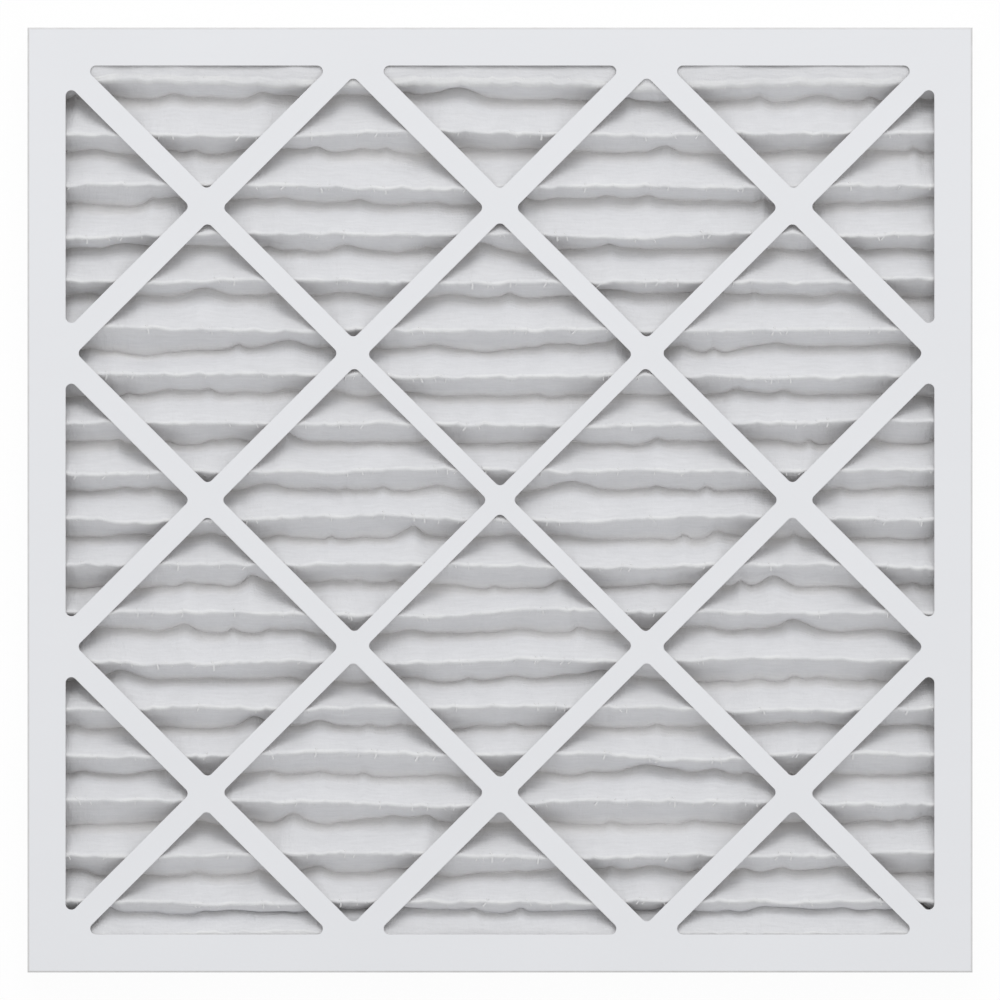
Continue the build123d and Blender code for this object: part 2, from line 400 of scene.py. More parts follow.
def media_material(settings):
    """Matted fibre over the unfolded sheet: streaks along the pleats, a painted highlight along the crests,
    painted shade in the valleys and painted fill light deep in the folds.
    """
    material, tree, shader = new_material("matted_media", Roughness=0.95, Sheen_Weight=0.1)
    place = scaled(tree, output_of(tree, "ShaderNodeUVMap", uv_map="unfolded"), UNFOLDED_SCALE)
    grain = grain_over(tree, place, length=12 * MM, width=1.6 * MM, cloud=18 * MM, fuzz=0.7 * MM)
    fold = node(tree, "ShaderNodeAttribute", attribute_name="fold").outputs["Fac"]
    broken = smooth_step(tree, grain["Clouds"], 0.35, 0.65)
    on_crest = smooth_step(tree, fold, 0.3, 1.0)
    in_valley = smooth_step(tree, fold, -0.2, -1.0)
    # painted highlight along the crests, broken up by the clouds
    bloom = times(tree, on_crest, maths(tree, "MULTIPLY_ADD", broken, 0.7, 0.3))
    # painted shade in the valleys and just above them, broken up by the clouds
    valley_shade_amount = times(tree, in_valley, maths(tree, "MULTIPLY_ADD", broken, 0.3, 0.45))
    # painted fill light: the fibre is lighter the deeper it lies in the folds, to soften their shade
    deep = smooth_step(tree, axes_of(tree, object_place(tree))[2], 11 * MM, 2 * MM)
    tone = mixed(tree, deep, settings.fibre, settings.clean)
    tone = mixed(tree, bloom, tone, settings.bloom)
    tone = mixed(tree, valley_shade_amount, tone, settings.crease)
    tone = scaled(tree, tone, mottled(tree, grain, streaks=0.18, clouds=0.1))
    # wrinkles run across the pleats, so their streaks are drawn on a turned place
    across, along, _ = axes_of(tree, place)
    wrinkle = grain_over(
        tree, combined(tree, along, across), length=14 * MM, width=4 * MM, cloud=30 * MM, fuzz=1 * MM
    )["Streaks"]
    height = maths(tree, "ADD", grain["Streaks"], times(tree, grain["Fuzz"], 0.35))
    height = maths(tree, "ADD", height, times(tree, wrinkle, 1.8))
    bump = output_of(tree, "ShaderNodeBump", {"Height": height, "Strength": 0.5, "Distance": 0.9 * MM})
    wire(tree, shader, {"Base Color": tone, "Normal": bump})
    return material


def tuft_material(settings):
    """Loose fibre pulled from a crest: painted in the crests' highlight colour, so a little whiter than the
    sheet, and streaked along its length.
    """
    material, tree, shader = new_material("loose_fibre", Roughness=0.9, Sheen_Weight=0.2)
    grain = grain_over(tree, object_place(tree), length=2 * MM, width=0.5 * MM, cloud=6 * MM, fuzz=0.4 * MM)
    tone = scaled(tree, tuple(settings.bloom), mottled(tree, grain, streaks=0.2))
    wire(tree, shader, {"Base Color": tone})
    return material


def steel_material(settings):
    """Galvanised steel: grey zinc with a broken, spangled sheen."""
    material, tree, shader = new_material("zinc_steel", Metallic=0.85)
    cells = node(tree, "ShaderNodeTexVoronoi", {"Vector": object_place(tree), "Scale": 350.0})
    spangle = cells.outputs["Distance"]
    wire(tree, shader, {
        "Base Color": scaled(tree, tuple(settings.steel), maths(tree, "MULTIPLY_ADD", spangle, 0.3, 0.82)),
        "Roughness": maths(tree, "MULTIPLY_ADD", spangle, 0.2, 0.35),
    })
    return material


def glue_material(settings):
    """Set glue: cream, with slow runs and a dull shine."""
    material, tree, shader = new_material("set_glue", Roughness=0.45)
    grain = grain_over(tree, object_place(tree), length=10 * MM, width=4 * MM, cloud=8 * MM, fuzz=1 * MM)
    tone = scaled(tree, tuple(settings.glue), mottled(tree, grain, clouds=0.2))
    runs = {"Height": grain["Clouds"], "Strength": 0.5, "Distance": 0.5 * MM}
    bump = output_of(tree, "ShaderNodeBump", runs)
    wire(tree, shader, {"Base Color": tone, "Normal": bump})
    return material


# ---------------- the folded sheet

UNFOLDED_SCALE = 0.8  # metres of unfolded sheet in one unit of its UV map
COLUMNS = 241  # of the front surface, along the pleats
BACK_STEP = 3  # the back surface has one column to three of the front
BEND_ROWS = 4  # lines around a bend of the sheet
GUIDE_BEND_ROWS = 5  # lines around a bend of the grid's guide
FLANK_ROWS = (0.06, 0.28, 0.5, 0.72, 0.94)
BACK_FLANK_ROWS = (0.5,)
VALLEY_FOLD = -0.6  # the fold value in the bend of a valley
CALM_ENDS = 6 * MM  # the folds come to rest over this length before the side walls


def wavy(rng, places, spacing, rows=1):
    """Smooth random curves of about unit size over the places, which turn about every spacing."""
    total = int((places[-1] - places[0]) / spacing) + 5
    knots = rng.normal(size=(rows, total))
    at = (places - places[0]) / spacing + 1 + rng.random()
    low = at.astype(int)
    t = at - low
    a, b, c, d = (knots[:, low + shift] for shift in (-1, 0, 1, 2))
    return b + 0.5 * t * (c - a + t * (2 * a - 5 * b + 4 * c - d + t * (3 * (b - c) + d - a)))


def humps(rng, places, gap, height, widths):
    """Single humps along the places, about a gap apart. Most are low, and few reach the height."""
    line = np.zeros_like(places)
    at = places[0] + rng.random() * gap
    while at < places[-1]:
        off = (places - at) / rng.uniform(*widths)
        lopsided = np.where(off < 0, off * rng.uniform(0.7, 1.4), off)
        line += height * (0.08 + rng.random() ** 2.2) * np.exp(-(lopsided**2))
        at += gap * rng.uniform(0.5, 1.5)
    return line


def scallops(rng, places, gap, depth):
    """Hanging arcs that meet in sharp points, about a gap apart. The points lie at zero."""
    line = np.zeros_like(places)
    start = places[0] - rng.random() * gap
    while start < places[-1]:
        run = gap * rng.uniform(0.45, 1.6)
        t = np.clip((places - start) / run, 0, 1) ** rng.uniform(0.7, 1.5)
        line += depth * rng.uniform(0.4, 1.3) * np.sqrt(4 * t * (1 - t) + 1e-9)
        start += run
    return line


class FoldedSheet:
    """The uneven folds of the sheet: a bend for each crest and valley, and the flanks that touch them."""

    def __init__(self, media):
        self.media = media
        self.low, self.high = (np.array(corner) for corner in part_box("pleated_media"))
        self.x = np.linspace(self.low[0], self.high[0], COLUMNS)
        self.calm = np.clip(np.minimum(self.x - self.low[0], self.high[0] - self.x) / CALM_ENDS, 0, 1)
        self.half = media.thickness / 2
        rng = np.random.default_rng(media.seed)
        self.bends = [self.bend(rng, *place) for place in enumerate(self.places())]
        self.centres = np.array([centre for centre, _, _ in self.bends])
        self.radii = [radius for _, radius, _ in self.bends]
        self.sides = [side for _, _, side in self.bends]
        self.climbs = self.flank_climbs()
        self.swells = [self.swell(rng) for _ in self.bends[1:]]

    def swell(self, rng):
        """The quilting of one flank, a line for each of its rows."""
        rows = len(FLANK_ROWS)
        broad = self.wave(rng, size=0.35 * MM, turn=45 * MM, rows=rows)
        return broad + self.wave(rng, size=0.16 * MM, turn=14 * MM, rows=rows)

    def wave(self, rng, size, turn, rows=1):
        """Smooth random lines along the pleats, of about that size, which turn about every turn."""
        return size * wavy(rng, self.x, turn, rows)

    def places(self):
        """The Y and the side of each bend, from the first valley to the crest that the last tail leaves."""
        media = self.media
        window = half_length - bpy.context.scene.filter_board.border
        first, last = window - media.first_inset, media.last_inset - window
        first_gaps = [media.end_pitch] * 2
        last_gaps = [media.end_pitch, media.last_pitch]
        even = media.crests - 1 - len(first_gaps) - len(last_gaps)
        pitch = (first - last - sum(first_gaps) - sum(last_gaps)) / even
        crests = [first]
        for gap in first_gaps + [pitch] * even + last_gaps:
            crests.append(crests[-1] - gap)
        places = [(first + (1 - media.lean) * media.end_pitch, VALLEY)]
        for number, (crest, following) in enumerate(zip(crests, crests[1:])):
            lean = media.steep_lean if number < media.steep_pleats else media.lean
            places += [(crest, CREST), (crest - lean * (crest - following), VALLEY)]
        last_valley = crests[-1] - media.last_fall
        return places + [(crests[-1], CREST), (last_valley, VALLEY), (last_valley - media.last_rise, CREST)]

    def bend(self, rng, number, place):
        """The centre line of one bend, its radius and its side."""
        y, side = place
        media = self.media
        radius = media.roll if number == 1 else media.bend
        drift = self.wave(rng, size=media.wander, turn=60 * MM)[0]
        if side == CREST:
            tremble = self.wave(rng, size=0.25 * MM, turn=8 * MM)[0]
            arcs = scallops(rng, self.x, gap=13 * MM, depth=media.scallop)
            drift += tremble - arcs + 0.6 * media.scallop
            sink = 0.2 * MM + np.abs(self.wave(rng, size=0.25 * MM, turn=30 * MM)[0])
            z = self.high[2] - self.half - radius - sink * self.calm
        else:
            pushed = humps(rng, self.x, gap=50 * MM, height=media.buckle, widths=(6 * MM, 14 * MM))
            pushed += humps(rng, self.x, gap=30 * MM, height=media.buckle / 2, widths=(2.5 * MM, 5 * MM))
            tremble = self.wave(rng, size=0.5 * MM, turn=15 * MM)[0]
            tremble += self.wave(rng, size=0.25 * MM, turn=6 * MM)[0]
            drift += tremble + pushed
            raised = np.abs(self.wave(rng, size=0.3 * MM, turn=30 * MM)[0]) + 0.35 * pushed
            if number in (0, 2 * media.crests):
                raised += media.end_lift
            z = self.low[2] + self.half + radius + raised * self.calm
        return np.stack([y + drift * self.calm, z], -1), radius, side

    def flank_climbs(self):
        """The angle of each flank, which touches the bends at its two ends. The tails lie flat."""
        step = self.centres[1:] - self.centres[:-1]
        angles = np.arctan2(step[..., 1], -step[..., 0])
        for k, reach in enumerate(np.hypot(step[..., 0], step[..., 1])):
            angles[k] += self.sides[k + 1] * np.arcsin((self.radii[k] + self.radii[k + 1]) / reach)
        first_y, first_z = np.moveaxis(self.centres[0], -1, 0)
        rise = first_z - (self.low[2] + self.half + self.radii[0])
        first_tail = np.arctan2(rise, self.high[1] - first_y)
        return np.concatenate([[first_tail], angles, np.zeros((1, COLUMNS))])

    def on_bend(self, k, climb, lift):
        """The line on bend k where the sheet climbs at that angle, lift in front of its middle."""
        return self.centres[k] + (self.sides[k] * self.radii[k] + lift) * outward_at(climb)

    def flank_bow(self, k, at):
        """How far flank k stands out from straight at a share of its length, fullest by the valley."""
        media = self.media
        from_valley = at if self.sides[k] == VALLEY else 1 - at
        belly = media.puff * (math.sin(math.pi * from_valley**0.6) + 0.3 * math.sin(math.pi * at))
        if k == 0:
            belly += media.first_roll * math.sin(math.pi * at)
        swell = self.swells[k][FLANK_ROWS.index(at)] * math.sin(math.pi * at)
        return (belly + swell) * self.calm

    def flank_fold(self, k, at):
        """The fold value on flank k: down to -1 just above a valley, and 0 from the middle on. It carries
        the painted valley shade up the lower part of the flank.
        """
        return -min(1.0, max(0.0, (0.5 - at) / 0.4)) if self.sides[k] == VALLEY else 0.0

    def edge(self, end_y, height, lift):
        """The straight edge of the sheet, lift in front of its middle."""
        return np.stack(np.broadcast_arrays(end_y, height + lift + np.zeros(COLUMNS)), -1)

    def surface(self, lift, flank_rows, bend_rows):
        """Lines of (Y, Z) across the sheet from its first edge to its last, and the fold value of each.

        The fold value is 1 on a crest and VALLEY_FOLD in a valley. No line leaves the box of the media.
        """
        lines, folds = [], []
        lowest, highest = self.low[2] + self.half + lift, self.high[2] - self.half + lift

        def add(line, fold):
            lines.append(np.stack([line[:, 0], np.clip(line[:, 1], lowest, highest)], -1))
            folds.append(fold)

        end = len(self.bends) - 1
        first_edge = self.edge(self.high[1], self.low[2] + self.half, lift)
        last_edge = self.edge(self.low[1], self.centres[-1][:, 1] + self.radii[-1], lift)
        for at in (0.0, 0.5):
            add(first_edge * (1 - at) + self.on_bend(0, self.climbs[0], lift) * at, 0.0)
        for k in range(end + 1):
            before, after = self.climbs[k], self.climbs[k + 1]
            for at in np.linspace(0, 1, bend_rows):
                line = self.on_bend(k, before * (1 - at) + after * at, lift)
                add(line, 1.0 if self.sides[k] == CREST else VALLEY_FOLD)
            if k < end:
                start, stop = self.on_bend(k, after, lift), self.on_bend(k + 1, after, lift)
                for at in flank_rows:
                    bow = outward_at(after) * self.flank_bow(k, at)[:, None]
                    add(start * (1 - at) + stop * at + bow, self.flank_fold(k, at))
        for at in (0.5, 1.0):
            add(self.on_bend(end, self.climbs[-1], lift) * (1 - at) + last_edge * at, 0.0)
        return np.array(lines), np.array(folds)

    def unfolded(self, lines):
        """How far along the unfolded sheet each line lies, on the average of its columns."""
        steps = np.hypot(*np.moveaxis(np.diff(lines, axis=0), -1, 0)).mean(1)
        return np.concatenate([[0.0], np.cumsum(steps)])


def outward_at(climb):
    """The direction (Y, Z) that the front of the sheet faces where it climbs at that angle."""
    return np.stack([np.sin(climb), np.cos(climb)], -1)


def numbered(surface, start=0):
    """The number of each point of a surface, row by row."""
    rows, columns = surface.shape[:2]
    return start + np.arange(rows * columns).reshape(rows, columns)


def points_of(x, surface):
    return np.dstack([np.broadcast_to(x, surface.shape[:2]), surface]).reshape(-1, 3)


def unfolded_places(x, along):
    """The place on the unfolded sheet of each point of a surface, row by row."""
    return np.stack(np.meshgrid(x - x[0], along), -1).reshape(-1, 2)


def grid_of_quads(number):
    quads = [number[:-1, :-1], number[1:, :-1], number[1:, 1:], number[:-1, 1:]]
    return np.stack(quads, -1).reshape(-1, 4)


def add_object(name, data):
    made = bpy.data.objects.new(name, data)
    bpy.context.scene.collection.objects.link(made)
    return made


def new_piece(name, points, faces, sheet_places=None, **attributes):
    """A mesh object from points and faces, with its place on the unfolded sheet and its attributes."""
    mesh = bpy.data.meshes.new(name)
    mesh.from_pydata(points, [], faces)
    if sheet_places is not None:
        corner_vertex = np.zeros(len(mesh.loops), np.int32)
        mesh.loops.foreach_get("vertex_index", corner_vertex)
        layer = mesh.uv_layers.new(name="unfolded")
        corner_places = (sheet_places[corner_vertex] / UNFOLDED_SCALE).astype(np.float32)
        layer.uv.foreach_set("vector", corner_places.ravel())
    for label, values in attributes.items():
        kind, key = ("FLOAT", "value") if values.ndim == 1 else ("FLOAT_VECTOR", "vector")
        layer = mesh.attributes.new(label, kind, "POINT")
        layer.data.foreach_set(key, values.astype(np.float32).ravel())
    mesh.shade_smooth()
    return add_object(name, mesh)


def rows_behind(bends, rows):
    """The front row that each row of the back surface lies behind."""
    kept = [0, 1]
    step = BEND_ROWS + len(FLANK_ROWS)
    middle = BEND_ROWS + FLANK_ROWS.index(BACK_FLANK_ROWS[0])
    for first in range(2, 2 + bends * step, step):
        kept += [*range(first, first + BEND_ROWS), first + middle]
    # the last bend has no flank after it
    return kept[:-1] + [rows - 2, rows - 1]


def cut_edges(front, back, kept):
    """The faces between the two surfaces along the four cut edges, from the numbers of their points."""
    faces = []
    for n in range(len(back) - 1):
        span = slice(kept[n], kept[n + 1] + 1)
        faces.append([back[n, 0], back[n + 1, 0], *front[span, 0][::-1]])
        faces.append([back[n + 1, -1], back[n, -1], *front[span, -1]])
    for n in range(back.shape[1] - 1):
        span = slice(n * BACK_STEP, (n + 1) * BACK_STEP + 1)
        faces.append([back[0, n + 1], back[0, n], *front[0, span]])
        faces.append([back[-1, n], back[-1, n + 1], *front[-1, span][::-1]])
    return [[int(number) for number in face] for face in faces]


def build_sheet(folded):
    """The closed sheet: a fine front surface, a coarser back one, and the cut edges between them."""
    front, fold = folded.surface(folded.half, FLANK_ROWS, BEND_ROWS)
    back, back_fold = folded.surface(-folded.half, BACK_FLANK_ROWS, BEND_ROWS)
    back, back_x = back[:, ::BACK_STEP], folded.x[::BACK_STEP]
    front_points = points_of(folded.x, front)
    points = np.concatenate([front_points, points_of(back_x, back)])
    front_number, back_number = numbered(front), numbered(back, len(front_points))
    kept = rows_behind(len(folded.bends), len(front))
    faces = grid_of_quads(front_number).tolist() + grid_of_quads(back_number)[:, ::-1].tolist()
    faces += cut_edges(front_number, back_number, kept)
    along = folded.unfolded(front)
    sheet_places = np.concatenate([unfolded_places(folded.x, along), unfolded_places(back_x, along[kept])])
    values = np.concatenate([np.repeat(fold, len(folded.x)), np.repeat(-back_fold, len(back_x))])
    piece = new_piece("media_sheet", points, faces, sheet_places, fold=values)
    return piece, (folded.high[0] - folded.low[0], float(along[-1]))


# ---------------- geometry nodes

DIAMOND_STEPS = 16.0  # straight steps of a strand in one diamond
CORNER_GAP = 0.6  # strand widths between the middles of two strands at a corner of a diamond
GRID_GAP = 0.05 * MM  # between the sheet and the grid behind it
TUFT_CLIMB = 0.25  # radians from the top of a crest, down its back, to the roots of the tufts
TUFT_SUNK = 0.45 * MM  # how deep the roots lie in the sheet
TUFTS_DROPPED = 0.45  # share of the places on a crest that stay bare
CREST_ENDS = 4  # columns at each end of a crest that grow no tufts


def grow(name, tree, inputs):
    """A new piece with the plain mesh that a Geometry Nodes tree makes from the given inputs."""
    seed_mesh = bpy.data.meshes.new(name)
    maker = add_object(name + "_maker", seed_mesh)
    modifier = maker.modifiers.new("grow", "NODES")
    modifier.node_group = tree
    sockets = {item.name: item.identifier for item in tree.interface.items_tree if item.in_out == "INPUT"}
    for label, value in inputs.items():
        modifier[sockets[label]] = value
    bpy.context.view_layer.update()
    evaluated = maker.evaluated_get(bpy.context.evaluated_depsgraph_get())
    mesh = bpy.data.meshes.new_from_object(evaluated)
    mesh.name = name
    maker.modifiers.remove(modifier)
    bpy.data.objects.remove(maker)
    bpy.data.meshes.remove(seed_mesh)
    if not mesh.polygons:
        raise RuntimeError(f"{name} came out empty")
    return add_object(name, mesh)


def close_tree(tree, entry, leave, geometry):
    """Ends a tree: real geometry that carries the material of its Material input."""
    whole = output_of(tree, "GeometryNodeRealizeInstances", {"Geometry": geometry})
    painted = output_of(tree, "GeometryNodeSetMaterial", {"Geometry": whole, "Material": entry["Material"]})
    wire(tree, leave, {"Geometry": painted})
    return tree


def position(tree):
    return output_of(tree, "GeometryNodeInputPosition")


def named_vector(tree, name):
    return output_of(tree, "GeometryNodeInputNamedAttribute", {"Name": name}, data_type="FLOAT_VECTOR")


def flat_strands(tree, entry, spacing):
    """Straight strands along X over the flat sheet, one spacing apart."""
    step = maths(tree, "DIVIDE", entry["Diamond width"], DIAMOND_STEPS)
    run = maths(tree, "SUBTRACT", entry["Sheet width"], times(tree, entry["Margin"], 2.0))
    climb = maths(tree, "SUBTRACT", entry["Sheet length"], entry["Diamond height"])
    steps = maths(tree, "CEIL", maths(tree, "DIVIDE", run, step))
    line = output_of(tree, "GeometryNodeMeshLine", {
        "Count": maths(tree, "ADD", steps, 1.0),
        "Start Location": combined(tree, x=entry["Margin"]),
        "Offset": combined(tree, x=maths(tree, "DIVIDE", run, steps)),
    })
    rack = output_of(tree, "GeometryNodeMeshLine", {
        "Count": maths(tree, "FLOOR", maths(tree, "DIVIDE", climb, spacing)),
        "Start Location": combined(tree, y=spacing),
        "Offset": combined(tree, y=spacing),
    })
    strand = output_of(tree, "GeometryNodeMeshToCurve", {"Mesh": line})
    laid = output_of(tree, "GeometryNodeInstanceOnPoints", {"Points": rack, "Instance": strand})
    return output_of(tree, "GeometryNodeRealizeInstances", {"Geometry": laid})


def zigzag_shift(tree, entry, spacing):
    """How far a strand sways. Neighbours sway in turn, and meet at the corners of the diamonds."""
    x, y, _ = axes_of(tree, position(tree))
    half_diamond = maths(tree, "DIVIDE", entry["Diamond width"], 2.0)
    share_along = maths(tree, "DIVIDE", maths(tree, "PINGPONG", x, half_diamond), half_diamond)
    sway = maths(tree, "MULTIPLY_ADD", share_along, 2.0, -1.0)
    number = maths(tree, "ROUND", maths(tree, "DIVIDE", y, spacing))
    hand = maths(tree, "MULTIPLY_ADD", maths(tree, "MODULO", number, 2.0), 2.0, -1.0)
    gap = times(tree, entry["Strand"], CORNER_GAP)
    reach = maths(tree, "DIVIDE", maths(tree, "SUBTRACT", spacing, gap), 2.0)
    return combined(tree, y=times(tree, times(tree, sway, hand), reach))


def onto_guide(tree, entry):
    """Where a point of the flat grid lies on the guide, which has the same unfolded places."""
    guide = node(tree, "GeometryNodeObjectInfo", {"Object": entry["Guide"]})
    x, y, z = axes_of(tree, position(tree))
    sockets = {
        "Mesh": guide.outputs["Geometry"],
        "UV Map": named_vector(tree, "unfolded"),
        "Sample UV": scaled(tree, combined(tree, x, y), 1 / UNFOLDED_SCALE),
    }
    place, outward = (
        output_of(tree, "GeometryNodeSampleUVSurface", {**sockets, "Value": value}, data_type="FLOAT_VECTOR")
        for value in (position(tree), named_vector(tree, "outward"))
    )
    return output_of(tree, "ShaderNodeVectorMath", {0: scaled(tree, outward, z), 1: place}, operation="ADD")


def expanded_grid_tree():
    """Zigzag strands, laid out flat side by side, then carried onto a guide surface."""
    tree, entry, leave = new_group(
        "expanded_grid",
        "GeometryNodeTree",
        {
            "Guide": "Object",
            "Material": "Material",
            "Sheet width": 490 * MM,
            "Sheet length": 750 * MM,
            "Diamond width": 32 * MM,
            "Diamond height": 16 * MM,
            "Strand": 1 * MM,
            "Gauge": 0.4 * MM,
            "Margin": 3 * MM,
        },
        {"Geometry": "Geometry"},
    )
    spacing = maths(tree, "DIVIDE", entry["Diamond height"], 2.0)
    strands = output_of(tree, "GeometryNodeSetPosition", {
        "Geometry": flat_strands(tree, entry, spacing), "Offset": zigzag_shift(tree, entry, spacing),
    })
    upright = output_of(tree, "GeometryNodeSetCurveNormal", {"Curve": strands}, mode="Z_UP")
    section = output_of(tree, "GeometryNodeCurvePrimitiveQuadrilateral", {
        "Width": entry["Strand"], "Height": entry["Gauge"],
    })
    bars = output_of(tree, "GeometryNodeCurveToMesh", {
        "Curve": upright, "Profile Curve": section, "Fill Caps": True,
    })
    outside = output_of(tree, "GeometryNodeFlipFaces", {"Mesh": bars})
    folded = output_of(tree, "GeometryNodeSetPosition", {
        "Geometry": outside, "Position": onto_guide(tree, entry),
    })
    return close_tree(tree, entry, leave, folded)


def chance(tree, seed, low, high):
    """A random number for each tuft. The node has its number at sockets 2, 3 and, going out, 1."""
    made = node(tree, "FunctionNodeRandomValue", {2: low, 3: high, "Seed": seed}, data_type="FLOAT")
    return made.outputs[1]


def picked(tree, seed, probability):
    """True for a random share of the tufts. The node gives a truth value at socket 3."""
    sockets = {"Probability": probability, "Seed": seed}
    return node(tree, "FunctionNodeRandomValue", sockets, data_type="BOOLEAN").outputs[3]


def wisp(tree, entry):
    """One bent, tapered tuft of length 1."""
    arc = output_of(tree, "GeometryNodeCurveQuadraticBezier", {
        "Resolution": 4,
        "Start": (-0.3, 0.22, -0.04),
        "Middle": (0.25, 0.08, 0.1),
        "End": (0.6, -0.58, -0.3),
    })
    taper = maths(tree, "MULTIPLY_ADD", output_of(tree, "GeometryNodeSplineParameter"), -0.65, 1.0)
    thinned = output_of(tree, "GeometryNodeSetCurveRadius", {"Curve": arc, "Radius": taper})
    radius = maths(tree, "DIVIDE", maths(tree, "DIVIDE", entry["Width"], 2.0), entry["Size"])
    section = output_of(tree, "GeometryNodeCurvePrimitiveCircle", {"Resolution": 4, "Radius": radius})
    return output_of(tree, "GeometryNodeCurveToMesh", {
        "Curve": thinned, "Profile Curve": section, "Fill Caps": True,
    })


def tuft_tree():
    """Tapered tufts of loose fibre, strewn along guide lines and turned at random about +Z."""
    tree, entry, leave = new_group(
        "loose_tufts",
        "GeometryNodeTree",
        {
            "Guide": "Object",
            "Material": "Material",
            "Spacing": 7 * MM,
            "Size": 3 * MM,
            "Width": 0.5 * MM,
            "Seed": 0,
        },
        {"Geometry": "Geometry"},
    )
    guide = node(tree, "GeometryNodeObjectInfo", {"Object": entry["Guide"]})
    crests = output_of(tree, "GeometryNodeMeshToCurve", {"Mesh": guide.outputs["Geometry"]})
    spots = output_of(tree, "GeometryNodeCurveToPoints", {
        "Curve": crests, "Length": entry["Spacing"],
    }, mode="LENGTH")
    drop, turn, stretch, widen, slide = (
        maths(tree, "ADD", entry["Seed"], salt) for salt in (1.0, 2.0, 3.0, 4.0, 5.0)
    )
    some = output_of(tree, "GeometryNodeDeleteGeometry", {
        "Geometry": spots, "Selection": picked(tree, drop, TUFTS_DROPPED),
    }, domain="POINT")
    offset = combined(tree, x=times(tree, chance(tree, slide, -0.5, 0.5), entry["Spacing"]))
    strayed = output_of(tree, "GeometryNodeSetPosition", {"Geometry": some, "Offset": offset})
    size = combined(tree, chance(tree, stretch, 0.35, 1.1), chance(tree, widen, 0.35, 1.1), 0.8)
    strewn = output_of(tree, "GeometryNodeInstanceOnPoints", {
        "Points": strayed,
        "Instance": wisp(tree, entry),
        "Rotation": combined(tree, z=chance(tree, turn, -1.5, 0.5)),
        "Scale": scaled(tree, size, entry["Size"]),
    })
    return close_tree(tree, entry, leave, strewn)


def grid_guide(folded, gauge):
    """The surface that the middle of the grid follows, just behind the sheet."""
    behind = folded.half + gauge / 2 + GRID_GAP
    surface, _ = folded.surface(-behind, BACK_FLANK_ROWS, GUIDE_BEND_ROWS)
    middle, _ = folded.surface(0.0, BACK_FLANK_ROWS, GUIDE_BEND_ROWS)
    along = folded.unfolded(middle)
    outward = points_of(0.0, middle - surface)
    outward /= np.linalg.norm(outward, axis=1)[:, None]
    faces = grid_of_quads(numbered(surface)).tolist()
    places = unfolded_places(folded.x, along)
    guide = new_piece("grid_guide", points_of(folded.x, surface), faces, places, outward=outward)
    return guide, float(along[-1])


def crest_guide(folded):
    """Lines along the crests that show in the front openings."""
    climb = np.full(COLUMNS, TUFT_CLIMB)
    crests = [k for k, side in enumerate(folded.sides[:-1]) if side == CREST]
    lines = [folded.on_bend(k, climb, folded.half - TUFT_SUNK) for k in crests]
    inner = slice(CREST_ENDS, -CREST_ENDS)
    points = [(x, *yz) for line in lines for x, yz in zip(folded.x[inner], line[inner])]
    run = COLUMNS - 2 * CREST_ENDS
    mesh = bpy.data.meshes.new("crest_guide")
    mesh.from_pydata(points, [(n, n + 1) for n in range(len(points) - 1) if (n + 1) % run], [])
    return add_object("crest_guide", mesh)


def give_material(piece, material):
    piece.data.materials.clear()
    piece.data.materials.append(material)


def discard(piece):
    mesh = piece.data
    bpy.data.objects.remove(piece)
    bpy.data.meshes.remove(mesh)


# ---------------- operators


class FILTER_OT_board(bpy.types.Operator):
    """Line both folded halves of the frame: white outside, brown inside"""

    bl_idname = "filter.board"
    bl_label = "Board"

    def execute(self, context):
        settings = context.scene.filter_board
        for name, outward in (("front_frame", 1.0), ("back_frame", -1.0)):
            give_material(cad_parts[name], board_material(name + "_board", settings, outward))
        return {"FINISHED"}


class FILTER_OT_media(bpy.types.Operator):
    """Fold the sheet of media across the panel"""

    bl_idname = "filter.media"
    bl_label = "Media"

    def execute(self, context):
        settings = context.scene.filter_media
        sheet, flat = build_sheet(FoldedSheet(settings))
        give_material(sheet, media_material(settings))
        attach(sheet, "root")
        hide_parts("pleated_media")
        return {"FINISHED"}


class FILTER_OT_tufts(bpy.types.Operator):
    """Pull tufts of loose fibre out of the crests"""

    bl_idname = "filter.tufts"
    bl_label = "Loose tufts"

    def execute(self, context):
        scene = context.scene
        settings = scene.filter_tufts
        guide = crest_guide(FoldedSheet(scene.filter_media))
        tufts = grow("loose_tufts", tuft_tree(), {
            "Guide": guide, "Material": tuft_material(scene.filter_media), "Spacing": settings.spacing,
            "Size": settings.size, "Width": settings.width, "Seed": settings.seed,
        })
        discard(guide)
        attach(tufts, "root")
        return {"FINISHED"}


class FILTER_OT_grid(bpy.types.Operator):
    """Lay the expanded steel grid along the back of the folds"""

    bl_idname = "filter.grid"
    bl_label = "Support grid"

    def execute(self, context):
        scene = context.scene
        settings = scene.filter_grid
        folded = FoldedSheet(scene.filter_media)
        guide, unfolded = grid_guide(folded, settings.gauge)
        grid = grow("steel_grid", expanded_grid_tree(), {
            "Guide": guide, "Material": steel_material(settings),
            "Sheet width": float(folded.high[0] - folded.low[0]), "Sheet length": unfolded,
            "Diamond width": settings.diamond_width, "Diamond height": settings.diamond_height,
            "Strand": settings.strand, "Gauge": settings.gauge, "Margin": settings.margin,
        })
        discard(guide)
        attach(grid, "root")
        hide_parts("support_grid")
        return {"FINISHED"}


class FILTER_OT_glue(bpy.types.Operator):
    """Set the beads of glue around the sheet"""

    bl_idname = "filter.glue"
    bl_label = "Glue"

    def execute(self, context):
        material = glue_material(context.scene.filter_glue)
        for name in ("side_seal_left", "side_seal_right", "end_seal_first", "end_seal_last"):
            give_material(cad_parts[name], material)
        return {"FINISHED"}


# ---------------- stage

